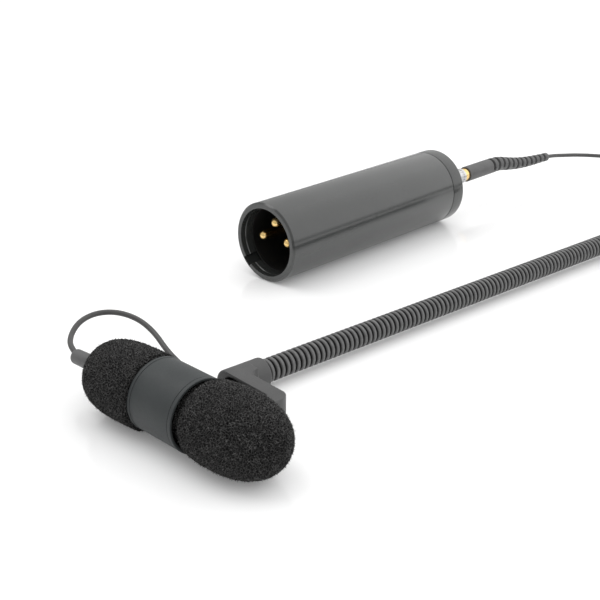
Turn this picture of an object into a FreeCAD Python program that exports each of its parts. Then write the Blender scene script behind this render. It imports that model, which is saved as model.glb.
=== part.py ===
import FreeCAD, Part
import math
import os

# Clip-on gooseneck instrument microphone, lying on a table, with its XLR adapter.
# Millimetres. +X runs along the gooseneck away from the microphone, +Z is up, and Z = 0 is the table.
# Everything is laid out from the middle of the microphone's holder ring, and save() moves it so that
# the row's origin is the middle of the footprint of the object without its cord.

V = FreeCAD.Vector
X_AXIS = V(1, 0, 0)
Y_AXIS = V(0, 1, 0)
Z_AXIS = V(0, 0, 1)

# Where the holder ring's middle stands in the row's frame
HEAD_X = -82.75
HEAD_Y = -18.93

# Microphone: local +X is its front. The holder ring grips it a few degrees askew
MIC_X = 0.14
MIC_Y = -1.3
MIC_HEIGHT = 7.4
MIC_YAW = -83.1
HOUSING_R = 2.7
HOUSING_BORE_R = 2.3
HOUSING_REAR = -21.0
HOUSING_FRONT = 10.5
TUBE_FRONT = 18.5
GRILLE_FRONT = 20.2
BOOT_R = 1.45
BOOT_END = -29.3

# Foam windscreens: squarish ovals on the microphone, with necks that enter the ring
FOAM_BORE_R = 3.0
FOAM_NECK_R = 5.6
FOAM_NECK_END = 1.3
FRONT_FOAM_MID = 12.13
FRONT_FOAM_HALF = 11.53
FRONT_FOAM_R = 7.36
FRONT_FOAM_POWER = 2.36
FRONT_FOAM_SHOULDER = 6.0
REAR_FOAM_MID = 10.74
REAR_FOAM_HALF = 11.02
REAR_FOAM_R = 7.09
REAR_FOAM_POWER = 3.13
REAR_FOAM_SHOULDER = 6.85
SHOULDER_WIDTH = 0.8

# Holder ring, about its own axis
RING_YAW = -86.4
RING_MID = -0.43
RING_R = 6.88
RING_BORE_R = 6.2
RING_HALF = 5.91
FLANGE_WIDTH = 0.7
BAND_R = 6.8
BAND_BORE_R = 6.55
BAND_GAP = 0.1
LUG_HALF = 3.0
LUG_FRONT = 3.4
LUG_BACK = 10.3
LUG_LOW = 1.0
LUG_HIGH = 5.2

# Yoke: a back bar, a tall arm, a low arm and a boss in line with the low arm
BOSS_Y = 6.45
BOSS_Z = 3.0
BOSS_R = 3.0
BOSS_FRONT = 15.5
BOSS_BACK = 24.4
BAR_BACK = 18.6
YOKE_TOP = 6.0
YOKE_LOW = 0.05
ARM_OUTER = 8.75
ARM_INNER = 6.0
ARM_FRONT = 8.4
TOE_BACK = 10.4
LOW_ARM_TOP = 2.2
CABLE_HOLE_R = 1.3
CABLE_HOLE_Y = 5.5
CABLE_HOLE_Z = 3.7
DUCT_DEPTH = 1.2
DUCT_LOW = 3.7
DUCT_HIGH = 5.3
PLUG_SEAT_X = 19.0
PLUG_SEAT_R = 2.45

# Gooseneck: ribbed sleeve in equal rigid lengths, bending at the planes between them
NECK_LINKS = 10
NECK_START = 24.6
RIB_PITCH = 1.28
RIBS_PER_LINK = 10
LINK = RIB_PITCH * RIBS_PER_LINK
RIB_R = 2.36
GROOVE_R = 1.95
GROOVE_WIDTH = 0.36
RIB_BEVEL = 0.12
SLEEVE_BORE_R = 1.25
NECK_LEAD_R = 1.15
JOINT_GAP_BORE = 0.32
JOINT_GAP_RIM = 0.55
NECK_END = NECK_START + NECK_LINKS * LINK

# Base of the gooseneck
FERRULE_R = 3.0
FERRULE_END = NECK_END + 14.0
BUSH_END = FERRULE_END + 7.5
BUSH_R = 2.3
BUSH_TIP_R = 1.1

# Cord
CORD_D = 1.1
CORD_HOLE_R = 0.55
COIL_X = 206.0
COIL_Y = 24.0
COIL_MEAN_R = 13.0
COIL_HALF_WIDTH = 2.8
COIL_LOW = 0.35
COIL_HIGH = 4.75
TIE_THICK = 0.3
TIE_HALF_WIDTH = 2.0

# XLR adapter: local +X runs from its mouth to its cable end
ADAPTER_X = 58.75
ADAPTER_Y = 47.90
ADAPTER_YAW = 4.88
ADAPTER_R = 9.5
ADAPTER_LENGTH = 63.6
SHELL_END = 59.3
CAP_WALL = 60.6
MOUTH_R = 8.15
CUP_R = 7.85
CUP_STEP = 3.0
INSERT_FRONT = 14.5
INSERT_BACK = 20.5
SHELL_BORE_R = 8.4
PIN_CIRCLE_R = 4.05
PIN_R = 1.2
PIN_TIP = 2.6
PIN_SHANK_R = 0.95
PIN_CUP_R = 0.6
PIN_SHOULDER = 14.4
PIN_BACK = 25.0

# Plug and jack on the adapter's axis
JACK_R = 1.3
JACK_END = 71.0
NUT_START = 66.5
NUT_END = 75.1
NUT_R = 2.05
NUT_BORE_R = 1.4
NUT_LIP = 72.3
PLUG_FRONT = 71.1
PLUG_R = 1.2
PLUG_COLLAR_R = 1.72
PLUG_BACK = 78.9
SLEEVE_START = 76.9
SLEEVE_END = 90.0
SLEEVE_R = 2.1
RELIEF_CORE_R = 0.85
RELIEF_RIBS = 12
RELIEF_RIB_WIDTH = 1.35
RELIEF_TIP_R = 1.25

# The strain relief's droop: distance past the sleeve, and drop below the adapter's axis
RELIEF_LINE = ((0, 0), (5.4, 0.75), (13.0, 2.1), (20.0, 2.8), (27.4, 3.15))


def turned(outline):
    """Solid of revolution about the local X axis from closed (x, radius) points."""
    points = [V(x, 0, r) for x, r in outline]
    face = Part.Face(Part.makePolygon(points + [points[0]]))
    return face.revolve(V(0, 0, 0), X_AXIS, 360)


def rod(radius, start, end):
    return Part.makeCylinder(radius, end - start, V(start, 0, 0), X_AXIS)


def tube(outer, inner, start, end):
    return turned([(start, inner), (start, outer), (end, outer), (end, inner)])


def box(low, high):
    size = V(*high) - V(*low)
    return Part.makeBox(size.x, size.y, size.z, V(*low))


def placed(shape, base, yaw=0.0, pitch_down=0.0):
    """Moves a shape from its local frame to where its local origin and +X belong."""
    turn = FreeCAD.Rotation(Z_AXIS, yaw).multiply(FreeCAD.Rotation(Y_AXIS, pitch_down))
    moved = shape.copy()
    moved.Placement = FreeCAD.Placement(base, turn).multiply(moved.Placement)
    return moved


def on_mic(shape):
    return placed(shape, V(MIC_X, MIC_Y, MIC_HEIGHT), MIC_YAW)


def on_ring(shape):
    moved = shape.copy()
    moved.translate(V(RING_MID, 0, 0))
    return placed(moved, V(MIC_X, MIC_Y, MIC_HEIGHT), RING_YAW)


def on_adapter(shape):
    return placed(shape, V(ADAPTER_X, ADAPTER_Y, ADAPTER_R), ADAPTER_YAW)


def save(name, shape):
    moved = shape.copy()
    moved.translate(V(HEAD_X, HEAD_Y, 0))
    moved.exportStep("parts/%s.step" % name)
    SHAPES[name] = moved


SHAPES = {}


# ---------------------------------------------------------------- windscreens
def foam(mid, half, radius, power, shoulder, bore_end, tail_r):
    """A squarish oval of foam around the X axis, with a neck that ends in the ring."""

    def radius_at(x):
        return radius * (1 - abs((x - mid) / half) ** power) ** (1 / power)

    full = shoulder + SHOULDER_WIDTH
    tail_x = mid + half * (1 - (tail_r / radius) ** power) ** (1 / power)
    swell = [full + (mid - full) * i / 8 for i in range(9)]
    close = [mid + (tail_x - mid) * math.sin(math.pi / 2 * i / 14) for i in range(1, 14)]
    skin = [V(x, 0, radius_at(x)) for x in swell + close] + [V(tail_x, 0, tail_r)]
    curve = Part.BSplineCurve()
    curve.interpolate(skin)
    corners = [skin[-1], V(bore_end, 0, tail_r), V(bore_end, 0, FOAM_BORE_R),
               V(FOAM_NECK_END, 0, FOAM_BORE_R), V(FOAM_NECK_END, 0, FOAM_NECK_R),
               V(shoulder, 0, FOAM_NECK_R), skin[0]]
    edges = [curve.toShape()] + [Part.makeLine(a, b) for a, b in zip(corners, corners[1:])]
    return Part.Face(Part.Wire(edges)).revolve(V(0, 0, 0), X_AXIS, 360)


def windscreens():
    front = foam(FRONT_FOAM_MID, FRONT_FOAM_HALF, FRONT_FOAM_R, FRONT_FOAM_POWER, FRONT_FOAM_SHOULDER,
                 GRILLE_FRONT + 1.0, 0.0)
    rear = foam(REAR_FOAM_MID, REAR_FOAM_HALF, REAR_FOAM_R, REAR_FOAM_POWER, REAR_FOAM_SHOULDER,
                0.4 - HOUSING_REAR, BOOT_R + 0.3)
    save("windscreen_front", on_mic(front))
    save("windscreen_rear", on_mic(rear.mirror(V(0, 0, 0), X_AXIS)))


# ---------------------------------------------------------------- microphone
def microphone():
    save("mic_housing", on_mic(tube(HOUSING_R, HOUSING_BORE_R, HOUSING_REAR, HOUSING_FRONT)))

    slotted = tube(HOUSING_R, HOUSING_BORE_R, HOUSING_FRONT, TUBE_FRONT)
    for turn in range(6):
        slot = box((HOUSING_FRONT + 1.2, -0.5, 0), (TUBE_FRONT - 1.2, 0.5, HOUSING_R + 1))
        slot.rotate(V(0, 0, 0), X_AXIS, 60 * turn)
        slotted = slotted.cut(slot)
    save("interference_tube", on_mic(slotted))

    grille = turned([(TUBE_FRONT, 0), (TUBE_FRONT, HOUSING_R), (GRILLE_FRONT - 0.6, HOUSING_R),
                     (GRILLE_FRONT, HOUSING_R - 0.6), (GRILLE_FRONT, 0)])
    for turn in range(6):
        hole = rod(0.4, TUBE_FRONT - 1, GRILLE_FRONT + 1)
        hole.translate(V(0, 1.4, 0))
        hole.rotate(V(0, 0, 0), X_AXIS, 60 * turn)
        grille = grille.cut(hole)
    save("front_grille", on_mic(grille))

    save("capsule", on_mic(tube(HOUSING_BORE_R, 0.8, 6.4, 9.4)))
    save("diaphragm", on_mic(rod(HOUSING_BORE_R, 9.4, 9.6)))
    save("preamp_board", on_mic(box((-17.0, -1.8, -0.3), (5.6, 1.8, 0.3))))

    cap = turned([(HOUSING_REAR, 0), (HOUSING_REAR, HOUSING_R), (HOUSING_REAR - 0.3, HOUSING_R),
                  (HOUSING_REAR - 0.3, 0)])
    save("tail_cap", on_mic(cap))

    boot = rod(BOOT_R, BOOT_END, HOUSING_REAR - 0.3)
    boot = boot.makeFillet(0.6, [e for e in boot.Edges if e.BoundBox.XMax < BOOT_END + 0.01])
    boot = boot.cut(rod(CORD_HOLE_R, BOOT_END - 1, BOOT_END + 3.0))
    save("tail_boot", on_mic(boot))

    grommet = tube(RING_BORE_R - 0.1, HOUSING_R, -1.0, 1.0)
    save("suspension_grommet", on_mic(grommet))


# ---------------------------------------------------------------- holder
def holder():
    core = turned([(-RING_HALF, RING_BORE_R), (-RING_HALF, RING_R), (FLANGE_WIDTH - RING_HALF, RING_R),
                   (FLANGE_WIDTH - RING_HALF, BAND_BORE_R), (RING_HALF - FLANGE_WIDTH, BAND_BORE_R),
                   (RING_HALF - FLANGE_WIDTH, RING_R), (RING_HALF, RING_R), (RING_HALF, RING_BORE_R)])
    lug = box((LUG_FRONT, -LUG_HALF, LUG_LOW), (LUG_BACK, LUG_HALF, LUG_HIGH))
    lug = lug.cut(on_ring(rod(RING_BORE_R + 0.15, -12, 12)))
    lug = max(lug.Solids, key=lambda s: s.BoundBox.XMax)
    save("holder_ring", on_ring(core).fuse(lug).removeSplitter())

    band_half = RING_HALF - FLANGE_WIDTH - BAND_GAP
    band = on_ring(tube(BAND_R, BAND_BORE_R, -band_half, band_half))
    slot = box((LUG_FRONT - 0.1, -LUG_HALF - 0.1, LUG_LOW - 0.1), (LUG_BACK, LUG_HALF + 0.1, LUG_HIGH + 0.1))
    save("holder_band", band.cut(slot))


def rounded_corner(before, corner, after, radius):
    """Tangent arc at a corner between two straight sides."""
    toward = (before - corner).normalize()
    away = (after - corner).normalize()
    half = toward.getAngle(away) / 2
    reach = radius / math.tan(half)
    start = corner + toward * reach
    end = corner + away * reach
    middle = corner + (toward + away).normalize() * (radius / math.sin(half) - radius)
    return start, middle, end


def plan(corners):
    """Closed flat outline from (x, y, corner radius) rows."""
    points = [V(x, y, 0) for x, y, radius in corners]
    edges = []
    last = None
    first = None
    for i, (x, y, radius) in enumerate(corners):
        if radius > 0:
            following = points[(i + 1) % len(points)]
            start, middle, end = rounded_corner(points[i - 1], points[i], following, radius)
        else:
            start, middle, end = points[i], None, points[i]
        if last is not None:
            edges.append(Part.makeLine(last, start))
        if middle is not None:
            edges.append(Part.Arc(start, middle, end).toShape())
        first = first or start
        last = end
    edges.append(Part.makeLine(last, first))
    return Part.Face(Part.Wire(edges))


def yoke():
    side = BOSS_Y - BOSS_R
    outline = [(BOSS_FRONT, BOSS_Y, 0), (BOSS_FRONT, -ARM_INNER, 0.6), (TOE_BACK, -ARM_INNER, 0.4),
               (TOE_BACK, -LUG_HALF, 0), (ARM_FRONT, -LUG_HALF, 0.3), (ARM_FRONT, -ARM_OUTER, 1.0),
               (BAR_BACK, -ARM_OUTER, 2.4), (BAR_BACK, side, 1.8), (BAR_BACK + 2.4, side, 0),
               (BAR_BACK + 2.4, BOSS_Y, 0)]
    frame = plan(outline).extrude(V(0, 0, YOKE_TOP - YOKE_LOW))
    frame.translate(V(0, 0, YOKE_LOW))
    low = [(BOSS_FRONT + 1, ARM_INNER, 0), (BOSS_FRONT + 1, ARM_OUTER, 0), (ARM_FRONT, ARM_OUTER, 1.0),
           (ARM_FRONT, LUG_HALF, 0.3), (TOE_BACK, LUG_HALF, 0), (TOE_BACK, ARM_INNER, 0.4)]
    low_arm = plan(low).extrude(V(0, 0, LOW_ARM_TOP - YOKE_LOW))
    low_arm.translate(V(0, 0, YOKE_LOW))
    boss = rod(BOSS_R, BOSS_FRONT, BOSS_BACK)
    boss = boss.makeFillet(0.45, [e for e in boss.Edges if isinstance(e.Curve, Part.Circle)])
    boss.translate(V(0, BOSS_Y, BOSS_Z))
    seat = rod(PLUG_SEAT_R, PLUG_SEAT_X, BOSS_BACK + 1)
    seat.translate(V(0, BOSS_Y, BOSS_Z))
    hole = rod(CABLE_HOLE_R, BOSS_FRONT - 1, PLUG_SEAT_X)
    hole.translate(V(0, CABLE_HOLE_Y, CABLE_HOLE_Z))
    duct = box((BOSS_FRONT - 1, 0.4 - ARM_INNER, DUCT_LOW),
               (BOSS_FRONT + DUCT_DEPTH, CABLE_HOLE_Y, DUCT_HIGH))
    save("holder_yoke", frame.fuse([low_arm, boss]).removeSplitter().cut([seat, hole, duct]))


# ---------------------------------------------------------------- gooseneck
def on_neck(shape, start):
    return placed(shape, V(start, BOSS_Y, BOSS_Z))


def sleeve():
    """One rigid length of the ribbed sleeve, with hollowed ends that let its neighbours tilt."""
    half_rib = (RIB_PITCH - GROOVE_WIDTH) / 2
    outline = [(JOINT_GAP_BORE, SLEEVE_BORE_R), (JOINT_GAP_RIM, RIB_R - RIB_BEVEL),
               (JOINT_GAP_RIM + RIB_BEVEL, RIB_R)]
    for rib in range(RIBS_PER_LINK):
        middle = RIB_PITCH * (rib + 0.5)
        if rib > 0:
            outline += [(middle - half_rib, GROOVE_R), (middle - half_rib, RIB_R - RIB_BEVEL),
                        (middle - half_rib + RIB_BEVEL, RIB_R)]
        if rib < RIBS_PER_LINK - 1:
            outline += [(middle + half_rib - RIB_BEVEL, RIB_R), (middle + half_rib, RIB_R - RIB_BEVEL),
                        (middle + half_rib, GROOVE_R)]
    outline += [(LINK - JOINT_GAP_RIM - RIB_BEVEL, RIB_R), (LINK - JOINT_GAP_RIM, RIB_R - RIB_BEVEL),
                (LINK - JOINT_GAP_BORE, SLEEVE_BORE_R)]
    return turned(outline)


def gooseneck():
    one = sleeve()
    for link in range(1, NECK_LINKS + 1):
        start = NECK_END - link * LINK
        save("gooseneck_coil_%d" % link, on_neck(one, start))
        lead = rod(NECK_LEAD_R, JOINT_GAP_BORE, LINK - JOINT_GAP_BORE)
        save("gooseneck_lead_%d" % link, on_neck(lead, start))

    plug = tube(PLUG_SEAT_R - 0.05, NECK_LEAD_R + 0.05, PLUG_SEAT_X + 0.1, NECK_START)
    save("gooseneck_top_plug", on_neck(plug, 0))

    ferrule = turned([(NECK_END, NECK_LEAD_R), (NECK_END, FERRULE_R - 0.4), (NECK_END + 0.4, FERRULE_R),
                      (FERRULE_END - 0.4, FERRULE_R), (FERRULE_END, FERRULE_R - 0.4),
                      (FERRULE_END, NECK_LEAD_R)])
    save("base_ferrule", on_neck(ferrule, 0))

    bush = turned([(FERRULE_END, 0), (FERRULE_END, BUSH_R), (FERRULE_END + 1.2, BUSH_R),
                   (BUSH_END, BUSH_TIP_R), (BUSH_END, 0)])
    save("base_bush", on_neck(bush, 0))


# ---------------------------------------------------------------- cords
def cord_path(points):
    """Straight runs joined by tangent arcs. Returns the wire and the arcs' radii."""
    edges = []
    radii = []
    last = points[0]
    for before, corner, after in zip(points, points[1:], points[2:]):
        toward = before - corner
        away = after - corner
        reach = 0.45 * min(toward.Length, away.Length)
        half_turn = (math.pi - toward.getAngle(away)) / 2
        radius = reach / math.tan(half_turn)
        toward.normalize()
        away.normalize()
        start = corner + toward * reach
        end = corner + away * reach
        middle = corner + (toward + away).normalize() * (radius / math.cos(half_turn) - radius)
        edges += [Part.LineSegment(last, start).toShape(), Part.Arc(start, middle, end).toShape()]
        radii.append(radius)
        last = end
    edges.append(Part.LineSegment(last, points[-1]).toShape())
    return Part.Wire(edges), radii


def cord_tube(name, points):
    path, radii = cord_path(points)
    direction = points[1] - points[0]
    circle = Part.Wire(Part.makeCircle(CORD_D / 2, points[0], direction))
    solid = path.makePipeShell([circle], True, False)
    expected = math.pi * CORD_D ** 2 / 4 * path.Length
    print("%s: length %.1f, volume/expected %.4f, radii %s"
          % (name, path.Length, solid.Volume / expected, " ".join("%.1f" % r for r in radii)))
    save(name, solid)


def mic_cable():
    """From the tail boot, up and over, down behind the rear foam and into the boss."""
    route = [(-3.2, 26.4, 7.4), (-2.95, 30.4, 7.9), (-0.9, 33.6, 8.9), (2.4, 35.6, 10.2), (6.2, 35.5, 10.9),
             (9.7, 33.4, 10.8), (12.0, 29.5, 9.9), (12.5, 24.8, 8.4), (11.7, 19.7, 6.6), (11.5, 14.2, 5.3),
             (11.4, 9.6, 4.2), (13.2, 6.7, 3.7), (16.2, 5.6, 3.6), (18.8, 5.6, 3.6)]
    cord_tube("mic_cable", [V(*p) for p in route])


def cord():
    neck_exit = V(BUSH_END, BOSS_Y, BOSS_Z)
    lead_in = [neck_exit, V(179.5, 6.4, 2.3), V(186.0, 7.6, 1.0), V(193.5, 9.8, 0.75), V(202.0, 11.0, 1.2)]
    cord_tube("cord_lead_in", lead_in)

    lead_out = [V(219.0, 26.0, 1.6), V(217.8, 32.8, 1.0), V(213.8, 39.0, 1.2), V(208.2, 43.8, 2.0),
                V(201.8, 47.8, 3.2), V(195.4, 52.1, 4.2), V(189.8, 56.2, 4.7), V(183.5, 57.6, 5.4),
                relief_points()[-1]]
    cord_tube("cord_lead_out", lead_out)

    low_r = COIL_MEAN_R - COIL_HALF_WIDTH
    high_r = COIL_MEAN_R + COIL_HALF_WIDTH
    section = Part.makePolygon([V(low_r, 0, COIL_LOW), V(high_r, 0, COIL_LOW), V(high_r, 0, COIL_HIGH),
                                V(low_r, 0, COIL_HIGH), V(low_r, 0, COIL_LOW)])
    coil = Part.Face(section).revolve(V(0, 0, 0), Z_AXIS, 360)
    coil = coil.makeFillet(1.2, [e for e in coil.Edges if isinstance(e.Curve, Part.Circle)])
    coil.translate(V(COIL_X, COIL_Y, 0))
    save("cord_coil", coil)

    outer = box((low_r - TIE_THICK, -TIE_HALF_WIDTH, COIL_LOW - TIE_THICK),
                (high_r + TIE_THICK, TIE_HALF_WIDTH, COIL_HIGH + TIE_THICK))
    tie = placed(outer, V(COIL_X, COIL_Y, 0), -60).cut(coil)
    save("coil_tie", tie)


# ---------------------------------------------------------------- plug
def relief_points():
    """The strain relief's axis: it leaves along the adapter's axis and droops."""
    place = FreeCAD.Placement(V(ADAPTER_X, ADAPTER_Y, ADAPTER_R), FreeCAD.Rotation(Z_AXIS, ADAPTER_YAW))
    return [place.multVec(V(SLEEVE_END + along, 0, -drop)) for along, drop in RELIEF_LINE]


def strain_relief():
    """A slotted sleeve drawn as tapering discs along a drooping core."""
    points = relief_points()
    path, radii = cord_path(points)
    circle = Part.Wire(Part.makeCircle(RELIEF_CORE_R, points[0], points[1] - points[0]))
    whole = path.makePipeShell([circle], True, False)
    middles = path.discretize(2 * RELIEF_RIBS + 1)[1::2]
    for rib, (before, middle) in enumerate(zip([points[0]] + middles, middles)):
        radius = SLEEVE_R + (RELIEF_TIP_R - SLEEVE_R) * rib / (RELIEF_RIBS - 1)
        along = (middle - before).normalize()
        start = middle - along * (RELIEF_RIB_WIDTH / 2)
        whole = whole.fuse(Part.makeCylinder(radius, RELIEF_RIB_WIDTH, start, along))
    save("strain_relief", whole.removeSplitter())


def plug():
    knurled = turned([(NUT_START, NUT_BORE_R), (NUT_START, NUT_R - 0.2), (NUT_START + 0.2, NUT_R),
                      (NUT_END - 0.2, NUT_R), (NUT_END, NUT_R - 0.2), (NUT_END, PLUG_R + 0.1),
                      (NUT_LIP, PLUG_R + 0.1), (NUT_LIP, NUT_BORE_R)])
    for tooth in range(18):
        groove = box((NUT_START + 0.6, -0.14, NUT_R - 0.16), (NUT_END - 1.0, 0.14, NUT_R + 1))
        groove.rotate(V(0, 0, 0), X_AXIS, 20 * tooth)
        knurled = knurled.cut(groove)
    save("coupling_nut", on_adapter(knurled))

    body = turned([(PLUG_FRONT, 0.4), (PLUG_FRONT, NUT_BORE_R - 0.05), (NUT_LIP - 0.1, NUT_BORE_R - 0.05),
                   (NUT_LIP - 0.1, PLUG_R), (NUT_END + 0.1, PLUG_R), (NUT_END + 0.1, PLUG_COLLAR_R),
                   (PLUG_BACK, PLUG_COLLAR_R), (PLUG_BACK, 0.4)])
    save("plug_body", on_adapter(body))
    save("plug_pin", on_adapter(rod(0.35, 67.5, 78.0)))

    grip = turned([(SLEEVE_START, PLUG_COLLAR_R), (SLEEVE_START, SLEEVE_R - 0.1),
                   (SLEEVE_START + 0.1, SLEEVE_R),
                   (SLEEVE_END, SLEEVE_R), (SLEEVE_END, 0), (PLUG_BACK, 0), (PLUG_BACK, PLUG_COLLAR_R)])
    save("plug_sleeve", on_adapter(grip))
    strain_relief()


# ---------------------------------------------------------------- adapter
def adapter():
    shell = turned([(0, MOUTH_R), (0, ADAPTER_R - 0.35), (0.35, ADAPTER_R), (SHELL_END, ADAPTER_R),
                    (SHELL_END, SHELL_BORE_R), (INSERT_FRONT, SHELL_BORE_R), (INSERT_FRONT, CUP_R),
                    (CUP_STEP, CUP_R), (CUP_STEP, MOUTH_R)])
    notch = box((-1, -1.3, -9.0), (9.0, 1.3, -7.0))
    notch.rotate(V(0, 0, 0), X_AXIS, 45)
    save("adapter_shell", on_adapter(shell.cut(notch)))

    insert = rod(SHELL_BORE_R, INSERT_FRONT, INSERT_BACK)
    pin = turned([(PIN_TIP, 0), (PIN_TIP + 0.15, 0.6), (PIN_TIP + 0.6, 1.05), (PIN_TIP + 1.1, PIN_R),
                  (PIN_SHOULDER, PIN_R), (PIN_SHOULDER, PIN_SHANK_R), (PIN_BACK, PIN_SHANK_R),
                  (PIN_BACK, PIN_CUP_R), (PIN_BACK - 3, PIN_CUP_R), (PIN_BACK - 3, 0)])
    for number, angle in enumerate((0, 90, 180), 1):
        turn = math.radians(angle)
        place = V(0, PIN_CIRCLE_R * math.cos(turn), PIN_CIRCLE_R * math.sin(turn))
        one = pin.copy()
        one.translate(place)
        save("xlr_pin_%d" % number, on_adapter(one))
        bore = rod(PIN_SHANK_R, INSERT_FRONT - 1, INSERT_BACK + 1)
        bore.translate(place)
        insert = insert.cut(bore)
    save("xlr_insert", on_adapter(insert))

    save("insert_retainer", on_adapter(tube(SHELL_BORE_R, 7.0, INSERT_BACK, INSERT_BACK + 2)))
    save("ground_contact", on_adapter(box((INSERT_BACK, -1.0, -6.6), (INSERT_BACK + 8, 1.0, -6.3))))

    save("circuit_board", on_adapter(box((27.0, -6.0, -0.5), (50.0, 6.0, 0.5))))
    can = Part.makeCylinder(2.4, 5.5, V(46.0, 0, 0.5), Z_AXIS)
    chips = [box((31.0, -2.0, 0.5), (35.0, 2.0, 1.8)), box((38.0, -3.5, 0.5), (40.5, -1.0, 1.6)),
             box((38.0, 1.0, 0.5), (40.5, 3.5, 1.6)), can]
    save("board_components", on_adapter(Part.makeCompound(chips)))

    cap = turned([(52.0, 7.2), (52.0, SHELL_BORE_R), (SHELL_END + 0.12, SHELL_BORE_R),
                  (SHELL_END + 0.12, ADAPTER_R), (ADAPTER_LENGTH - 0.5, ADAPTER_R),
                  (ADAPTER_LENGTH - 0.15, ADAPTER_R - 0.15), (ADAPTER_LENGTH, ADAPTER_R - 0.5),
                  (ADAPTER_LENGTH, 2.5), (CAP_WALL, 2.5), (CAP_WALL, 7.2)])
    save("adapter_end_cap", on_adapter(cap))

    jack = turned([(56.6, 0.9), (56.6, 2.5), (ADAPTER_LENGTH, 2.5), (ADAPTER_LENGTH, 3.4),
                   (ADAPTER_LENGTH + 1, 3.4), (ADAPTER_LENGTH + 1, JACK_R), (JACK_END, JACK_R),
                   (JACK_END, 0.9)])
    save("jack_barrel", on_adapter(jack))
    save("jack_insulator", on_adapter(tube(0.9, 0.35, 57.6, 63.0)))
    sixth = math.pi / 3
    corners = [V(CAP_WALL - 2.1, 4.2 * math.cos(a * sixth), 4.2 * math.sin(a * sixth)) for a in range(7)]
    nut = Part.Face(Part.makePolygon(corners)).extrude(V(2.0, 0, 0))
    save("jack_nut", on_adapter(nut.cut(rod(2.5, 55, 65))))


windscreens()
microphone()
holder()
yoke()
gooseneck()
mic_cable()
cord()
plug()
adapter()

CORD_NODES = ("cord_", "coil_", "strain_relief", "plug_", "coupling_nut")
whole = FreeCAD.BoundBox()
for name, shape in SHAPES.items():
    bounds = shape.optimalBoundingBox(False, False)
    if not name.startswith(CORD_NODES):
        whole.add(bounds)
    if not shape.isValid() or bounds.ZMin < -0.001:
        print("check", name, shape.isValid(), round(bounds.ZMin, 3))
print("nodes", len(SHAPES), "footprint centre", round(whole.Center.x, 3), round(whole.Center.y, 3))
print("size without cord", round(whole.XLength, 2), round(whole.YLength, 2), round(whole.ZLength, 2))
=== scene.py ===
import math
import random

import bpy
import numpy as np
from mathutils import Matrix, Vector, noise


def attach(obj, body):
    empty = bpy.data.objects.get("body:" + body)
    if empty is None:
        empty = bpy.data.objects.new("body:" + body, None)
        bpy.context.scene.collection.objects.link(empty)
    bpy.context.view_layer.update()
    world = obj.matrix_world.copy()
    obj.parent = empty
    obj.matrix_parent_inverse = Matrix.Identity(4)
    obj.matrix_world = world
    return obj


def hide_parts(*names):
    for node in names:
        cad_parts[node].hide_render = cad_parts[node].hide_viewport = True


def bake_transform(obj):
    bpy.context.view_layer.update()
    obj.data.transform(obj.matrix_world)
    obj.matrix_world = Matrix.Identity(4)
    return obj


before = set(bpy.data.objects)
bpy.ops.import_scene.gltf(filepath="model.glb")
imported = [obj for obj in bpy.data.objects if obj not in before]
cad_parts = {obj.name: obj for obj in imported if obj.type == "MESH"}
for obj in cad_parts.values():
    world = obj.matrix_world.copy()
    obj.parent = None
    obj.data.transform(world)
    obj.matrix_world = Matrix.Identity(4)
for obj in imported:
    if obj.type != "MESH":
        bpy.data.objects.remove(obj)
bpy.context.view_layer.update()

# Lengths are written in millimetres and laid out from the middle of the holder ring, on the table,
# as in the CAD. spot() turns such a point into metres in the frame.
MM = 0.001
HEAD = Vector((-82.75, -18.93, 0.0))


def spot(x, y, z):
    return (Vector((x, y, z)) + HEAD) * MM


def place(x, y, z, yaw=0.0):
    return Matrix.Translation(spot(x, y, z)) @ Matrix.Rotation(math.radians(yaw), 4, "Z")


MIC = place(0.14, -1.3, 7.4, -83.1)
RING = place(0.14, -1.3, 7.4, -86.4) @ Matrix.Translation((-0.43 * MM, 0, 0))
NECK_Y = 6.45
NECK_Z = 3.0
NECK = place(0, NECK_Y, NECK_Z)
ADAPTER = place(58.75, 47.90, 9.5, 4.88)
COIL = place(206.0, 24.0, 0)
NECK_START = 24.6
RIB_PITCH = 1.28
LINK = 12.8
NECK_LINKS = 10
NECK_END = NECK_START + NECK_LINKS * LINK
FERRULE_END = NECK_END + 14.0
BUSH_END = FERRULE_END + 7.5
CORD_D = 1.1


# ---------------------------------------------------------------- camera
def make_camera():
    data = bpy.data.cameras.new("camera")
    data.sensor_width = 36.0
    data.lens = 68.6
    data.clip_start = 0.01
    data.clip_end = 20.0
    camera = bpy.data.objects.new("camera", data)
    camera.location = spot(-97.79, -145.63, 100.09)
    camera.rotation_mode = "QUATERNION"
    camera.rotation_quaternion = Vector((0.6026, 0.6970, -0.3887)).to_track_quat("-Z", "Y")
    bpy.context.collection.objects.link(camera)
    bpy.context.scene.camera = camera


make_camera()


# ---------------------------------------------------------------- cords
def cord_curve(name, points, diameter):
    """One smooth NURBS line through given control points, in metres."""
    data = bpy.data.curves.new(name, "CURVE")
    data.dimensions = "3D"
    spline = data.splines.new("NURBS")
    spline.points.add(len(points) - 1)
    for point, place_at in zip(spline.points, points):
        point.co = (*place_at, 1.0)
    spline.order_u = 3
    spline.use_endpoint_u = True
    spline.resolution_u = 6
    data.bevel_depth = diameter / 2 * MM
    data.bevel_resolution = 5
    data.use_fill_caps = True
    piece = bpy.data.objects.new(name, data)
    bpy.context.collection.objects.link(piece)
    return piece


def curve_line(piece):
    """The points that a curve's own smooth line passes through."""
    bare = piece.data.copy()
    bare.bevel_depth = 0.0
    holder = bpy.data.objects.new("line", bare)
    bpy.context.collection.objects.link(holder)
    mesh = bpy.data.meshes.new_from_object(holder.evaluated_get(bpy.context.evaluated_depsgraph_get()))
    points = [v.co.copy() for v in mesh.vertices]
    bpy.data.objects.remove(holder)
    bpy.data.meshes.remove(mesh)
    return points


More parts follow.
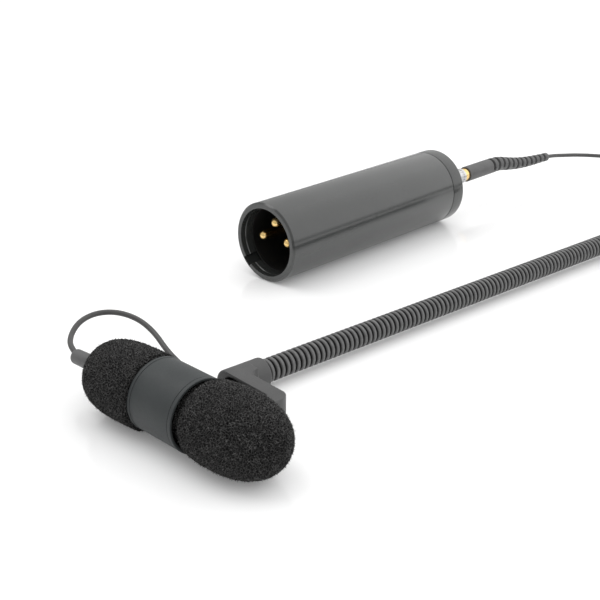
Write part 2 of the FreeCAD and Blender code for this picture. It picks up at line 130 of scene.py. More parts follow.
def coil_turns():
    """Twenty turns, five side by side in four layers, a diameter apart. They start and end outermost."""
    columns = [2.2, 1.1, 0.0, -1.1, -2.2]
    slots = []
    for layer, height in enumerate([0.92, 2.0, 3.08, 4.16]):
        row = columns if layer % 2 == 0 else columns[::-1]
        slots += [(13.0 + side, height) for side in row]
    per_turn = 16
    # a quadratic spline runs inside its control points by this share
    inside = math.cos(math.pi / per_turn)
    start = -1.35
    points = []
    for turn, (radius, height) in enumerate(slots):
        following = slots[min(turn + 1, len(slots) - 1)]
        for step in range(per_turn):
            share = min(1.0, max(0.0, (step - 11) / 5.0))
            r = (radius + (following[0] - radius) * share) / inside
            z = height + (following[1] - height) * share
            angle = start + 2 * math.pi * (turn + step / per_turn)
            points.append(COIL @ (Vector((r * math.cos(angle), r * math.sin(angle), z)) * MM))
    return points


RELIEF_LINE = [(145.73, 55.33, 9.5), (148.4, 55.55, 9.5), (150.9, 55.8, 9.4), (153.78, 56.02, 8.75),
               (157.6, 56.35, 8.0), (161.36, 56.66, 7.35), (168.33, 57.26, 6.68), (175.70, 57.87, 6.35)]
NECK_CORD = [(BUSH_END - 0.2, NECK_Y, NECK_Z), (176.6, 6.45, 2.85), (180.0, 6.5, 2.3),
             (186.0, 7.2, 1.0), (193.0, 8.4, 0.7), (200.0, 8.8, 0.75)]
PLUG_CORD = [(221.6, 27.6, 2.6), (221.0, 31.6, 1.1), (218.2, 36.4, 0.8), (213.8, 40.4, 1.2),
             (208.2, 44.2, 2.0), (201.8, 48.0, 3.2), (195.4, 52.1, 4.2), (189.8, 56.2, 4.7),
             (183.5, 57.6, 5.4), (179.0, 57.95, 6.05), (175.70, 57.87, 6.35)]
MIC_CORD = [(-3.2, 26.4, 7.4), (-2.95, 30.4, 7.9), (-0.9, 33.6, 8.9), (2.4, 35.6, 10.2), (6.2, 35.5, 10.9),
            (9.7, 33.4, 10.8), (12.0, 29.5, 9.9), (12.5, 24.8, 8.4), (11.7, 19.7, 6.6), (11.5, 14.2, 5.3),
            (11.4, 9.6, 4.2), (13.2, 6.7, 3.7), (16.2, 5.6, 3.6), (18.8, 5.6, 3.6)]

main_route = [spot(*p) for p in NECK_CORD] + coil_turns() + [spot(*p) for p in PLUG_CORD]
main_cord = cord_curve("main_cord", main_route, CORD_D)
mic_cord = cord_curve("mic_cord", [spot(*p) for p in MIC_CORD], CORD_D)


# ---------------------------------------------------------------- materials
def shader(name, color, roughness, metallic=0.0, **sockets):
    """A Principled material. Returns it with its node tree and its shader node."""
    made = bpy.data.materials.new(name)
    made.use_nodes = True
    tree = made.node_tree
    bsdf = tree.nodes["Principled BSDF"]
    bsdf.inputs["Base Color"].default_value = (*color, 1.0)
    bsdf.inputs["Roughness"].default_value = roughness
    bsdf.inputs["Metallic"].default_value = metallic
    for socket, value in sockets.items():
        bsdf.inputs[socket.replace("_", " ")].default_value = value
    return made, tree, bsdf


def node(tree, kind, inputs=(), **settings):
    made = tree.nodes.new(kind)
    for key, value in settings.items():
        setattr(made, key, value)
    for key, value in dict(inputs).items():
        if isinstance(value, bpy.types.NodeSocket):
            tree.links.new(value, made.inputs[key])
        else:
            made.inputs[key].default_value = value
    return made


def grain(tree, scale, detail=3.0, roughness=0.55):
    """Fine noise in the piece's own space. scale is in features per metre."""
    where = node(tree, "ShaderNodeTexCoord").outputs["Object"]
    return node(tree, "ShaderNodeTexNoise", {"Vector": where, "Scale": scale, "Detail": detail,
                                             "Roughness": roughness}).outputs["Fac"]


def ramp(tree, factor, stops):
    made = node(tree, "ShaderNodeValToRGB", {"Fac": factor})
    elements = made.color_ramp.elements
    while len(elements) < len(stops):
        elements.new(0.5)
    for element, (position, color) in zip(elements, stops):
        element.position = position
        element.color = color if len(color) == 4 else (*color, 1.0)
    return made.outputs["Color"]


def grey(value, warm=0.0):
    return (value * (1 + warm), value, value * (1 - warm))


def spread(tree, factor, low, high):
    """Maps 0.25..0.75 of a noise onto low..high."""
    return node(tree, "ShaderNodeMapRange", {"Value": factor, "From Min": 0.25, "From Max": 0.75,
                                             "To Min": low, "To Max": high}).outputs["Result"]


def bump(tree, bsdf, height, strength, distance):
    made = node(tree, "ShaderNodeBump", {"Height": height, "Strength": strength, "Distance": distance})
    tree.links.new(made.outputs["Normal"], bsdf.inputs["Normal"])
    return made


def moulded(name, low, high, roughness, pebble=6000.0, depth=0.00003, patch=180.0, specular=0.5):
    """Moulded plastic or rubber: faint patches of tone, and a fine grain in the gloss and the surface."""
    made, tree, bsdf = shader(name, high, roughness, Specular_IOR_Level=specular)
    tone = ramp(tree, grain(tree, patch, 4.0), [(0.32, low), (0.68, high)])
    tree.links.new(tone, bsdf.inputs["Base Color"])
    fine = grain(tree, pebble, 2.0)
    tree.links.new(spread(tree, fine, roughness - 0.07, roughness + 0.07), bsdf.inputs["Roughness"])
    bump(tree, bsdf, fine, 0.35, depth)
    return made


# ---------------------------------------------------------------- mesh builders
def finished(name, vertices, faces, material, sharp=32.0):
    mesh = bpy.data.meshes.new(name)
    mesh.from_pydata([tuple(v) for v in vertices], [], faces)
    mesh.validate()
    mesh.shade_smooth()
    if sharp is not None:
        mesh.set_sharp_from_angle(angle=math.radians(sharp))
    mesh.materials.append(material)
    piece = bpy.data.objects.new(name, mesh)
    bpy.context.collection.objects.link(piece)
    return piece


def softened(outline, closed):
    """Rounds the corners of (x, r, radius) points with short arcs. A corner with radius 0 stays sharp."""
    points = []
    count = len(outline)
    for i, (x, r, radius) in enumerate(outline):
        corner = Vector((x, r))
        if radius == 0 or (not closed and i in (0, count - 1)):
            points.append(corner)
            continue
        toward = Vector(outline[i - 1][:2]) - corner
        away = Vector(outline[(i + 1) % count][:2]) - corner
        half = toward.angle(away) / 2
        reach = min(radius / math.tan(half), 0.48 * toward.length, 0.48 * away.length)
        radius = reach * math.tan(half)
        toward.normalize()
        away.normalize()
        centre = corner + (toward + away).normalized() * (radius / math.sin(half))
        start = corner + toward * reach - centre
        turn = start.angle_signed(corner + away * reach - centre)
        steps = 5
        for step in range(steps + 1):
            angle = -turn * step / steps
            points.append(centre + Vector((start.x * math.cos(angle) - start.y * math.sin(angle),
                                           start.x * math.sin(angle) + start.y * math.cos(angle))))
    return points


def joined_rings(pairs, segments):
    """Faces between pairs of vertex rings. A ring of one vertex is a point on the axis."""
    faces = []
    for one, two in pairs:
        for step in range(segments):
            nxt = (step + 1) % segments
            if len(one) == 1 and len(two) == 1:
                break
            if len(one) == 1:
                faces.append((one[0], two[nxt], two[step]))
            elif len(two) == 1:
                faces.append((one[step], one[nxt], two[0]))
            else:
                faces.append((one[step], one[nxt], two[nxt], two[step]))
    return faces


def turned(name, outline, where, material, segments=96, closed=True, sharp=32.0):
    """A solid of revolution about the local X axis. outline holds (x, r, corner radius) in millimetres."""
    points = softened(outline, closed)
    vertices = []
    rings = []
    for point in points:
        if point.y < 1e-5:
            rings.append([len(vertices)])
            vertices.append(where @ (Vector((point.x, 0, 0)) * MM))
            continue
        rings.append(list(range(len(vertices), len(vertices) + segments)))
        for step in range(segments):
            a = 2 * math.pi * step / segments
            local = Vector((point.x, point.y * math.cos(a), point.y * math.sin(a)))
            vertices.append(where @ (local * MM))
    pairs = list(zip(rings, rings[1:])) + ([(rings[-1], rings[0])] if closed else [])
    return finished(name, vertices, joined_rings(pairs, segments), material, sharp)


def box(name, low, high, where, material):
    """A plain box between two corners in millimetres."""
    corners = [where @ (Vector((x, y, z)) * MM)
               for x in (low[0], high[0]) for y in (low[1], high[1]) for z in (low[2], high[2])]
    faces = [(0, 1, 3, 2), (4, 6, 7, 5), (0, 4, 5, 1), (2, 3, 7, 6), (0, 2, 6, 4), (1, 5, 7, 3)]
    return finished(name, corners, faces, material, None)


def stand_in(piece, body, slot, *nodes):
    """Rides a finished piece on a body, in place of these CAD nodes."""
    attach(piece, body)
    if nodes:
        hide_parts(*nodes)
    return piece


def copy_of(name, cad_node):
    """A new piece that starts from a CAD node's own mesh."""
    piece = bpy.data.objects.new(name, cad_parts[cad_node].data.copy())
    piece.data.materials.clear()
    bpy.context.collection.objects.link(piece)
    return piece


def applied(piece):
    """Bakes a piece's modifiers into its mesh."""
    mesh = bpy.data.meshes.new_from_object(piece.evaluated_get(bpy.context.evaluated_depsgraph_get()))
    old = piece.data
    piece.modifiers.clear()
    piece.data = mesh
    bpy.data.meshes.remove(old)


# ---------------------------------------------------------------- foam
FOAM_CELLS = 2100.0
FOAM_PIT = 0.45
FOAM_STEP = 0.11
FOAM_SEGMENTS = 420
FOAM_STRANDS = 9000
FOAM_NECK_R = 5.6
FOAM_NECK_END = 1.3
FOAM_BORE_R = 3.0


def foam_material():
    """Charcoal open-cell foam: a pale strand web round cells painted black as shade in their hollows, and a
    few stray light ends.
    """
    made, tree, bsdf = shader("foam", grey(0.02), 0.75)
    bsdf.inputs["Specular IOR Level"].default_value = 0.35
    where = node(tree, "ShaderNodeTexCoord").outputs["Object"]
    cells = node(tree, "ShaderNodeTexVoronoi", {"Vector": where, "Scale": FOAM_CELLS},
                 feature="DISTANCE_TO_EDGE").outputs["Distance"]
    # painted shade: the colour falls from the pale strand edges to near black in the middle of each cell,
    # where the hollows lie in shade
    strands_and_painted_cell_shade = ramp(tree, cells, [(0.02, grey(0.11, 0.02)), (0.08, grey(0.028)), (0.17, grey(0.002))])
    tone = ramp(tree, grain(tree, 900.0), [(0.35, grey(0.45)), (0.65, grey(1.0))])
    mixed = node(tree, "ShaderNodeMix", {"Factor": 1.0}, data_type="RGBA", blend_type="MULTIPLY")
    tree.links.new(strands_and_painted_cell_shade, mixed.inputs[6])
    tree.links.new(tone, mixed.inputs[7])
    tree.links.new(mixed.outputs[2], bsdf.inputs["Base Color"])
    bump(tree, bsdf, cells, -0.5, 0.0001)
    return made


def foam_rows(outline):
    """Evenly spaced (x, r, outward direction, pitted) rows along an outline of (x, r, pitted) points."""
    rows = []
    for (x0, r0, _), (x1, r1, pitted) in zip(outline, outline[1:]):
        along = Vector((x1 - x0, r1 - r0))
        count = max(1, round(along.length / (FOAM_STEP if pitted else 0.6)))
        out = Vector((along.y, -along.x)).normalized()
        for i in range(count):
            rows.append((x0 + along.x * i / count, r0 + along.y * i / count, out, pitted))
    rows.append((outline[-1][0], outline[-1][1], Vector((0, 0)), 0))
    return rows


def cell_depth(point):
    """How far the foam's skin lies inside its outline: deep in a cell, shallow on its strands."""
    near = noise.voronoi(point * MM * FOAM_CELLS)[0]
    open_share = min(1.0, max(0.0, (near[1] - near[0]) / 0.3))
    lump = 0.05 * (0.6 - noise.noise(point * 1.3))
    return FOAM_PIT * open_share * open_share * (3 - 2 * open_share) + lump


def foam_piece(name, outline, where, material):
    """An open-cell foam body of revolution, whose skin is pitted by its cells."""
    dice = random.Random(11)
    vertices = []
    rings = []
    skin = []
    for x, r, out, pitted in foam_rows(outline):
        count = 1 if r < 0.01 else FOAM_SEGMENTS
        rings.append(list(range(len(vertices), len(vertices) + count)))
        for step in range(count):
            a = 2 * math.pi * step / FOAM_SEGMENTS
            point = Vector((x, r * math.cos(a), r * math.sin(a)))
            if pitted:
                normal = Vector((out.x, out.y * math.cos(a), out.y * math.sin(a)))
                point -= normal * cell_depth(point)
                if r > 0.3:
                    skin.append((point, normal))
            vertices.append(where @ (point * MM))
    faces = joined_rings(list(zip(rings, rings[1:])), FOAM_SEGMENTS)
    for point, normal in dice.sample(skin, FOAM_STRANDS):
        add_strand(vertices, faces, where, point, normal, dice)
    for vertex in vertices:
        # the foam flattens where it rests on the table
        vertex.z = max(vertex.z, 0.02 * MM)
    return finished(name, vertices, faces, material, None)


def add_strand(vertices, faces, where, point, normal, dice):
    """A cut end of one foam strand: a thin closed spike that stands out of the skin."""
    side = normal.orthogonal().normalized()
    other = normal.cross(side)
    first = len(vertices)
    for corner in range(3):
        a = 2 * math.pi * corner / 3
        foot = point - normal * 0.1 + (side * math.cos(a) + other * math.sin(a)) * 0.055
        vertices.append(where @ (foot * MM))
    lean = side * dice.uniform(-0.13, 0.13) + other * dice.uniform(-0.13, 0.13)
    vertices.append(where @ ((point + normal * dice.uniform(0.1, 0.38) + lean) * MM))
    faces += [(first + 2, first + 1, first), (first, first + 1, first + 3), (first + 1, first + 2, first + 3),
              (first + 2, first, first + 3)]


def foam_outline(mid, half, full_r, power, shoulder, bore_end, tail_r):
    """From the tip, over the squarish oval, down into the neck and back up the bore."""
    outline = []
    tip = half * (1 - (tail_r / full_r) ** power) ** (1 / power)
    for i in range(61):
        share = math.sin(math.pi / 2 * (1 - i / 60))
        outline.append((mid + tip * share, full_r * (1 - (tip * share / half) ** power) ** (1 / power), 1))
    outline[0] = (mid + tip, tail_r, 1)
    full = shoulder + 0.6
    for i in range(1, 13):
        x = mid + (full - mid) * i / 12
        outline.append((x, full_r * (1 - ((mid - x) / half) ** power) ** (1 / power), 1))
    outline += [(shoulder, FOAM_NECK_R + 0.1, 1), (FOAM_NECK_END + 0.3, FOAM_NECK_R, 1),
                (FOAM_NECK_END, FOAM_NECK_R - 0.3, 1), (FOAM_NECK_END, FOAM_BORE_R, 1)]
    outline += [(bore_end, FOAM_BORE_R, 0), (bore_end, tail_r, 0)]
    if tail_r > 0:
        outline.append((mid + tip, tail_r, 0))
    return outline


def make_foam():
    material = foam_material()
    turned_back = Matrix.Rotation(math.pi, 4, "Z")
    front_outline = foam_outline(mid=12.13, half=11.8, full_r=7.58, power=2.36, shoulder=6.0,
                                 bore_end=21.2, tail_r=0.0)
    rear_outline = foam_outline(mid=10.74, half=11.3, full_r=7.34, power=3.13, shoulder=6.6,
                                bore_end=21.4, tail_r=1.75)
    front = foam_piece("foam_front", front_outline, MIC, material)
    rear = foam_piece("foam_rear", rear_outline, MIC @ turned_back, material)
    stand_in(front, "windscreen", "foam", "windscreen_front")
    stand_in(rear, "head", "foam", "windscreen_rear")


# ---------------------------------------------------------------- holder
RING_HALF = 5.91
RING_R = 6.88
RING_SEAT_R = 6.62
RING_BORE_R = 6.45


def make_ring():
    slate = moulded("holder_plastic", (0.027, 0.031, 0.032), (0.033, 0.038, 0.039), 0.55, 5200.0, 0.00002,
                    specular=0.45)
    rear_flange = 0.7 - RING_HALF
    front_flange = RING_HALF - 0.8
    ring = turned("ring", [(-RING_HALF, RING_BORE_R, 0.06), (-RING_HALF, RING_R, 0.16),
                           (rear_flange, RING_R, 0.1), (rear_flange, RING_SEAT_R, 0.02),
                           (front_flange, RING_SEAT_R, 0.02), (front_flange, RING_R, 0.1),
                           (RING_HALF, RING_R, 0.16), (RING_HALF, RING_BORE_R, 0.06), (5.2, 6.3, 0),
                           (-5.2, 6.3, 0)], RING, slate, 160)
    band_r = RING_R - 0.04
    band = turned("ring_band", [(-5.12, 6.6, 0.02), (-5.12, band_r, 0.06), (5.02, band_r, 0.06),
                                (5.02, 6.6, 0.02)], RING, slate, 160)
    black = moulded("ring_black", grey(0.003), grey(0.005), 0.7, 5200.0)
    lining = turned("ring_lining", [(-5.5, 6.2, 0.1), (-5.5, 6.42, 0), (5.72, 6.42, 0), (5.72, 6.2, 0.1)],
                    RING, black, 120)
    stand_in(band, "head", "ring_plastic", "holder_band")
    stand_in(ring, "head", "ring_plastic", "holder_ring")
    stand_in(lining, "head", "ring_plastic")
    lug = box("ring_lug", (5.3, -3.0, 1.0), (10.3, 3.0, 5.2), place(0, 0, 0), slate)
    edge = lug.modifiers.new("edge", "BEVEL")
    edge.width = 0.25 * MM
    edge.segments = 4
    applied(lug)
    stand_in(lug, "head", "ring_plastic")


def make_yoke():
    grey_plastic = moulded("yoke_plastic", grey(0.058), grey(0.072), 0.5, 4200.0, 0.00003)
    yoke = copy_of("yoke", "holder_yoke")
    remesh = yoke.modifiers.new("remesh", "REMESH")
    remesh.mode = "VOXEL"
    remesh.voxel_size = 0.1 * MM
    smooth = yoke.modifiers.new("smooth", "SMOOTH")
    smooth.factor = 0.5
    smooth.iterations = 12
    applied(yoke)
    yoke.data.shade_smooth()
    yoke.data.materials.append(grey_plastic)
    stand_in(yoke, "head", "yoke_plastic", "holder_yoke")


# ---------------------------------------------------------------- gooseneck
RIB_R = 2.36
GROOVE_R = 1.75
SLEEVE_BORE_R = 1.25
RIB_SHADE_START = 1.8
RIB_SHADE_WIDTH = 0.48


def sleeve_outline(start, ribs):
    """Ribbed outside and plain bore, from one groove's middle to another's."""
    outline = [(start, SLEEVE_BORE_R, 0), (start, GROOVE_R, 0)]
    for rib in range(ribs):
        middle = start + RIB_PITCH * (rib + 0.5)
        half_rib = [(0.42, GROOVE_R, 0.03), (0.39, RIB_R - 0.18, 0.1), (0.22, RIB_R, 0.16)]
        outline += [(middle - side, r, corner) for side, r, corner in half_rib]
        outline += [(middle + side, r, corner) for side, r, corner in reversed(half_rib)]
    end = start + RIB_PITCH * ribs
    return outline + [(end, GROOVE_R, 0), (end, SLEEVE_BORE_R, 0)]


def ribbed_rubber():
    """Satin rubber, mottled on the ribs, with painted shade that darkens it to black in the grooves, after
    the mesh's own rib attribute.
    """
    made = moulded("gooseneck_rubber", grey(0.05), grey(0.075), 0.32, 5000.0, 0.00003, 500.0)
    tree = made.node_tree
    # painted shade: the rubber's colour is scaled by the rib attribute, down to black in the grooves
    painted_groove_shade = node(tree, "ShaderNodeAttribute", attribute_name="rib").outputs["Fac"]
    tone = ramp(tree, grain(tree, 900.0, 4.0), [(0.3, grey(0.08)), (0.7, grey(0.13))])
    mixed = node(tree, "ShaderNodeVectorMath", {0: tone}, operation="SCALE")
    tree.links.new(painted_groove_shade, mixed.inputs["Scale"])
    tree.links.new(mixed.outputs["Vector"], tree.nodes["Principled BSDF"].inputs["Base Color"])
    return made


def mark_ribs(piece):
    """Stores how far out each vertex lies, from 0 in a groove to 1 on a rib's top, for the painted shade in
    the grooves.
    """
    inward = NECK.inverted()
    layer = piece.data.attributes.new("rib", "FLOAT", "POINT")
    for vertex in piece.data.vertices:
        local = inward @ vertex.co
        radius = math.hypot(local.y, local.z) / MM
        layer.data[vertex.index].value = min(1.0, max(0.03, (radius - RIB_SHADE_START) / RIB_SHADE_WIDTH))


def make_gooseneck():
    ribbed = ribbed_rubber()
    half = LINK / 2

    def length(name, start, ribs):
        piece = turned(name, sleeve_outline(start, ribs), NECK, ribbed, 64, sharp=50.0)
        mark_ribs(piece)
        return piece

    base_end = length("sleeve_base", NECK_END - half, 5)
    stand_in(base_end, "base", "gooseneck_sleeve", "gooseneck_coil_1", "gooseneck_lead_1")
    head_end = length("sleeve_head", NECK_START, 5)
    stand_in(head_end, "head", "gooseneck_sleeve", "gooseneck_coil_10", "gooseneck_lead_10")
    for k in range(1, 10):
        joint = NECK_END - k * LINK
        piece = length("sleeve_%d" % k, joint - half, 10)
        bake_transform(piece)
        if k > 1:
            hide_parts("gooseneck_coil_%d" % k, "gooseneck_lead_%d" % k)


# ---------------------------------------------------------------- strain relief and plug
def centre_line(points):
    """Evenly spaced points and directions along a smooth line through given points."""
    helper = cord_curve("helper", [spot(*p) for p in points], CORD_D)
    line = curve_line(helper)
    bpy.data.objects.remove(helper)
    travelled = [0.0]
    for a, b in zip(line, line[1:]):
        travelled.append(travelled[-1] + (b - a).length)
    axes = [[p[i] for p in line] for i in range(3)]

    def at(s):
        return Vector([float(np.interp(s, travelled, axis)) for axis in axes])

    return travelled[-1], at


GRIP_R = 2.1
RELIEF_TIP_R = 1.25
RELIEF_RIBS = 12
SLOT_SHARE = 0.4
BRIDGE_ANGLE = -0.9
BRIDGE_SPREAD = 0.9


def relief_profile(total):
    """Rows of (place along the line, radius, radius of the bridge that crosses a slot, its angle)."""
    pitch = total / (RELIEF_RIBS + 0.3)
    profile = [(0.0, GRIP_R, GRIP_R, 0.0)]
    for rib in range(RELIEF_RIBS):
        start = 0.35 + rib * pitch
        slot_end = start + SLOT_SHARE * pitch
        radius = GRIP_R + (RELIEF_TIP_R - GRIP_R) * rib / (RELIEF_RIBS - 1)
        turn = math.pi * (rib % 2) + BRIDGE_ANGLE
        profile += [(start, radius, radius, turn), (start + 0.06, 0.62 * radius, radius - 0.05, turn),
                    (slot_end, 0.6 * radius, radius - 0.06, turn),
                    (slot_end + 0.06, radius - 0.06, radius - 0.06, turn),
                    (slot_end + 0.16, radius, radius, turn)]
    for before_end, radius in ((0.25, RELIEF_TIP_R), (0.0, RELIEF_TIP_R - 0.2), (0.0, 0.5)):
        profile.append((total - before_end, radius, radius, 0.0))
    return profile


def make_strain_relief(rubber):
    total, at = centre_line(RELIEF_LINE)
    profile = relief_profile(total / MM)
    segments = 96
    vertices = []
    for place_along, deep, bridge, turn in profile:
        s = min(place_along * MM, total)
        ahead = at(min(s + 0.0002, total)) - at(max(s - 0.0002, 0.0))
        side = ahead.cross(Vector((0, 0, 1))).normalized()
        up = side.cross(ahead).normalized()
        for step in range(segments):
            a = 2 * math.pi * step / segments
            r = bridge if math.cos(a - turn) > BRIDGE_SPREAD else deep
            vertices.append(at(s) + (side * math.cos(a) + up * math.sin(a)) * r * MM)
    rings = [range(row * segments, (row + 1) * segments) for row in range(len(profile))]
    faces = [face[::-1] for face in joined_rings(zip(rings, rings[1:]), segments)]
    faces.append(list(rings[0]))
    faces.append(list(reversed(rings[-1])))
    return finished("relief", vertices, faces, rubber, 40.0)


def metal(name, low, high, sheen, gloss_scale, tone_scale):
    """Plated metal, mottled between two tones and between two roughness values."""
    made, tree, bsdf = shader(name, high, sum(sheen) / 2, 1.0)
    tree.links.new(spread(tree, grain(tree, gloss_scale), *sheen), bsdf.inputs["Roughness"])
    tree.links.new(ramp(tree, grain(tree, tone_scale), [(0.3, low), (0.7, high)]), bsdf.inputs["Base Color"])
    return made


def make_plug(rubber, gold):
    relief = make_strain_relief(rubber)
    sleeve = turned("plug_grip", [(76.9, 1.72, 0.05), (76.9, GRIP_R, 0.14), (87.3, GRIP_R, 0), (87.3, 1.2, 0),
                                  (78.9, 1.2, 0), (78.9, 1.72, 0)], ADAPTER, rubber, 64)
    stand_in(relief, "base", "soft_rubber", "strain_relief")
    stand_in(sleeve, "base", "soft_rubber", "plug_sleeve")
    body = turned("plug_gold", [(71.1, 0.4, 0), (71.1, 1.35, 0.05), (72.2, 1.35, 0.05), (72.2, 1.2, 0),
                                (75.2, 1.2, 0), (75.2, 1.7, 0.1), (78.85, 1.7, 0), (78.85, 0.4, 0)],
                  ADAPTER, gold, 64)
    stand_in(body, "base", "gold", "plug_body")


def make_metal_parts(gold, nickel):
    for name in ("plug_pin", "diaphragm"):
        carry(name, gold)
    for name in ("coupling_nut", "jack_barrel", "jack_nut", "ground_contact", "insert_retainer", "capsule"):
        carry(name, nickel)


def carry(name, material):
    """Gives a CAD node that stays a better material."""
    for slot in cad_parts[name].material_slots:
        slot.material = material


# ---------------------------------------------------------------- adapter
def adapter_material():
    """Satin dark grey with a fine grain, drawn lines round the barrel and a few hairline scratches."""
    made, tree, bsdf = shader("adapter_paint", grey(0.03), 0.22, Specular_IOR_Level=0.8)
    tone = ramp(tree, grain(tree, 120.0, 5.0), [(0.3, (0.027, 0.029, 0.028)), (0.7, (0.034, 0.036, 0.035))])
    where = node(tree, "ShaderNodeTexCoord").outputs["Object"]
    drawn = node(tree, "ShaderNodeVectorMath", {0: where, 1: (260.0, 5200.0, 5200.0)},
                 operation="MULTIPLY").outputs["Vector"]
    lines = node(tree, "ShaderNodeTexNoise", {"Vector": drawn, "Scale": 1.0, "Detail": 1.0}).outputs["Fac"]
    patches = grain(tree, 95.0, 2.0)
    hair = node(tree, "ShaderNodeMath", {0: lines, 1: patches}, operation="MULTIPLY").outputs["Value"]
    scratch = ramp(tree, hair, [(0.535, grey(0.0)), (0.56, grey(1.0))])
    mixed = node(tree, "ShaderNodeMix", data_type="RGBA")
    tree.links.new(scratch, mixed.inputs[0])
    tree.links.new(tone, mixed.inputs[6])
    mixed.inputs[7].default_value = (0.45, 0.45, 0.43, 1.0)
    tree.links.new(mixed.outputs[2], bsdf.inputs["Base Color"])
    fine = grain(tree, 7000.0, 2.0)
    tree.links.new(spread(tree, fine, 0.13, 0.23), bsdf.inputs["Roughness"])
    bump(tree, bsdf, fine, 0.15, 0.00002)
    return made


SHELL_R = 9.5
SHELL_END = 59.3
SHELL_BORE_R = 8.4
CUP_R = 8.12
CUP_END = 14.5
KEY_ANGLE = 45.0
PIN_CIRCLE_R = 4.05
PIN_TIP = 2.6
PIN_R = 1.2
PIN_SHOULDER = 14.4
PIN_SHANK_R = 0.95
PIN_END = 25.0


def notched(piece, low, high, material):
    """Cuts the key's notch, a box in the adapter's own axes turned about its X axis, out of a piece."""
    where = ADAPTER @ Matrix.Rotation(math.radians(KEY_ANGLE), 4, "X")
    cutter = box("cutter", low, high, where, material)
    cut = piece.modifiers.new("cut", "BOOLEAN")
    cut.operation = "DIFFERENCE"
    cut.object = cutter
    cut.solver = "EXACT"
    applied(piece)
    bpy.data.objects.remove(cutter)


def make_adapter():
    paint = adapter_material()
    black = moulded("insert_black", grey(0.004), grey(0.008), 0.5, 5000.0)
    shell = turned("shell", [(0, 8.1, 0.1), (0, 9.1, 0.06), (0.4, SHELL_R, 0.05), (SHELL_END, SHELL_R, 0.1),
                             (SHELL_END, SHELL_BORE_R, 0), (CUP_END, SHELL_BORE_R, 0), (CUP_END, CUP_R, 0),
                             (3.5, CUP_R, 0), (3.5, 7.8, 0.05), (1.6, 7.98, 0.1), (1.4, 8.1, 0.1)],
                   ADAPTER, paint, 180)
    notched(shell, (-1.0, -1.2, -8.9), (9.0, 1.2, -7.0), paint)
    shell.data.set_sharp_from_angle(angle=math.radians(32.0))
    cap = turned("end_cap", [(52.0, 7.2, 0), (52.0, 8.38, 0), (SHELL_END + 0.16, 8.38, 0),
                             (SHELL_END + 0.16, SHELL_R, 0.1), (63.2, SHELL_R, 0.12), (63.6, 9.1, 0.1),
                             (63.6, 2.55, 0.1), (60.6, 2.55, 0), (60.6, 7.2, 0)], ADAPTER, paint, 180)
    liner = turned("cup_liner", [(3.6, 7.8, 0.05), (3.6, CUP_R - 0.04, 0), (CUP_END - 0.1, CUP_R - 0.04, 0),
                                 (CUP_END - 0.1, 7.85, 0)], ADAPTER, black, 120)
    stand_in(shell, "base", "adapter_finish", "adapter_shell")
    stand_in(cap, "base", "adapter_finish", "adapter_end_cap")
    stand_in(liner, "base", "insert_plastic")
    carry("xlr_insert", black)
    carry("jack_insulator", black)


def make_xlr_pins(gold):
    tip = [(PIN_TIP + PIN_R * (1 - math.cos(a * math.pi / 16)), PIN_R * math.sin(a * math.pi / 16), 0)
           for a in range(9)]
    stem = [(PIN_SHOULDER, PIN_R, 0), (PIN_SHOULDER, PIN_SHANK_R, 0), (PIN_END, PIN_SHANK_R, 0),
            (PIN_END, 0, 0)]
    for number, (y, z) in enumerate(((1, 0), (0, 1), (-1, 0)), 1):
        where = ADAPTER @ Matrix.Translation(Vector((0, y, z)) * PIN_CIRCLE_R * MM)
        pin = turned("pin_%d" % number, tip + stem, where, gold, 48, closed=False)
        stand_in(pin, "base", "gold", "xlr_pin_%d" % number)


# ---------------------------------------------------------------- the small things
def make_microphone(rubber):
    satin = moulded("mic_black", grey(0.018), grey(0.026), 0.4, 6000.0)
    for name in ("mic_housing", "interference_tube", "front_grille", "tail_cap", "gooseneck_top_plug",
                 "base_ferrule"):
        carry(name, satin)
    boot = turned("boot", [(-29.3, 0, 0), (-29.3, 1.45, 0.6), (-21.3, 1.55, 0), (-21.3, 0, 0)],
                  MIC, rubber, 64, closed=False)
    stand_in(boot, "head", "soft_rubber", "tail_boot")
    for name in ("base_bush", "suspension_grommet"):
        carry(name, rubber)
    board = moulded("board_green", (0.01, 0.06, 0.02), (0.02, 0.09, 0.035), 0.4, 2000.0)
    carry("circuit_board", board)
    carry("preamp_board", board)
    parts = moulded("component_black", grey(0.02), grey(0.04), 0.45, 3000.0)
    carry("board_components", parts)
    woven = moulded("tie_woven", grey(0.012), grey(0.03), 0.85, 2200.0, 0.0001)
    carry("coil_tie", woven)


def make_cords():
    jacket = moulded("cable_jacket", grey(0.05, 0.02), grey(0.065, 0.02), 0.45, 6000.0, 0.00002, 600.0)
    for piece, body in ((main_cord, "base"), (mic_cord, "head")):
        piece.data.materials.append(jacket)
        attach(piece, body)
    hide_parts("cord_lead_in", "cord_coil", "cord_lead_out")
    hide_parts("mic_cable")


# ---------------------------------------------------------------- stage and light
def make_floor():
    """A pale glossy table that glows a little, so that shadows on it stay light."""
    mesh = bpy.data.meshes.new("floor")
    reach = 4.0
    mesh.from_pydata([(-reach, -reach, 0), (reach, -reach, 0), (reach, reach, 0), (-reach, reach, 0)], [],
                     [(0, 1, 2, 3)])
    floor = bpy.data.objects.new("floor", mesh)
    bpy.context.collection.objects.link(floor)
    gloss, tree, bsdf = shader("floor_gloss", grey(0.92), 0.1, Specular_IOR_Level=0.35, Emission_Strength=0.1)
    tree.links.new(ramp(tree, grain(tree, 2.0), [(0.3, grey(0.91)), (0.7, grey(0.93))]),
                   bsdf.inputs["Base Color"])
    bsdf.inputs["Emission Color"].default_value = (1.0, 1.0, 1.0, 1.0)
    mesh.materials.append(gloss)


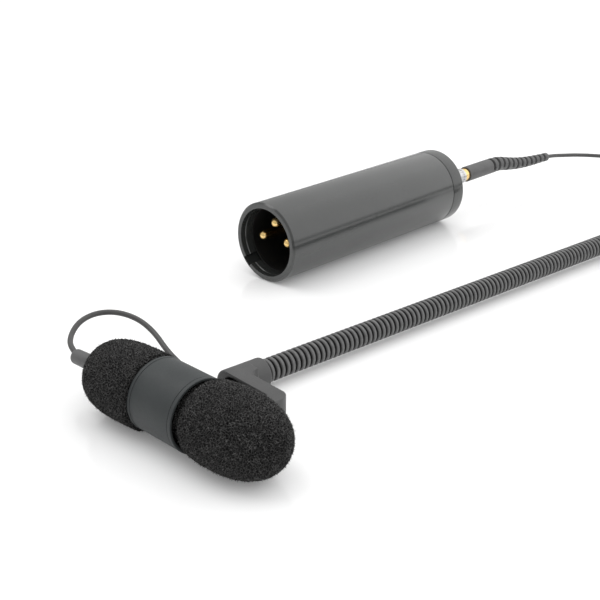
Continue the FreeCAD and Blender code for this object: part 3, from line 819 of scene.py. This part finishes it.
def make_world():
    """A bright studio with its brightest wall to the right of the camera, and a dark line at the horizon."""
    world = bpy.data.worlds.new("studio")
    bpy.context.scene.world = world
    world.use_nodes = True
    tree = world.node_tree
    direction = node(tree, "ShaderNodeTexCoord").outputs["Generated"]
    height = node(tree, "ShaderNodeSeparateXYZ", {"Vector": direction}).outputs["Z"]
    horizon = node(tree, "ShaderNodeMapRange", {"Value": height, "From Min": 0.02, "From Max": 0.06,
                                                "To Min": 0.1, "To Max": 1.0}).outputs["Result"]
    toward = node(tree, "ShaderNodeVectorMath", {0: direction, 1: (0.72, -0.5, 0.48)},
                  operation="DOT_PRODUCT").outputs["Value"]
    wall = node(tree, "ShaderNodeMapRange", {"Value": toward, "From Min": 0.1, "From Max": 0.8,
                                             "To Min": 0.72, "To Max": 1.5}).outputs["Result"]
    strength = node(tree, "ShaderNodeMath", {0: horizon, 1: wall}, operation="MULTIPLY").outputs["Value"]
    background = tree.nodes["Background"]
    background.inputs["Color"].default_value = (1.0, 1.0, 1.0, 1.0)
    tree.links.new(strength, background.inputs["Strength"])


def make_softbox():
    """One soft overhead light, behind the part and a little to the left."""
    data = bpy.data.lights.new("key", "AREA")
    data.shape = "SQUARE"
    data.size = 1.1
    data.energy = 7.0
    lamp = bpy.data.objects.new("key", data)
    lamp.location = (-0.4, 0.7, 1.4)
    lamp.rotation_mode = "QUATERNION"
    lamp.rotation_quaternion = (-lamp.location).to_track_quat("-Z", "Y")
    bpy.context.collection.objects.link(lamp)


make_floor()
make_world()
make_softbox()
bpy.context.scene.view_settings.view_transform = "Standard"

make_foam()
make_ring()
make_yoke()
make_gooseneck()
rubber_material = moulded("plug_rubber", grey(0.085), grey(0.105), 0.5, 5200.0, 0.00003, 400.0)
gold_material = metal("gold", (0.82, 0.55, 0.2), (0.92, 0.68, 0.32), (0.14, 0.3), 3500.0, 900.0)
nickel_material = metal("nickel", grey(0.5), grey(0.66), (0.22, 0.4), 2500.0, 700.0)
make_plug(rubber_material, gold_material)
make_metal_parts(gold_material, nickel_material)
make_adapter()
make_xlr_pins(gold_material)
make_microphone(rubber_material)
make_cords()

bpy.context.view_layer.update()
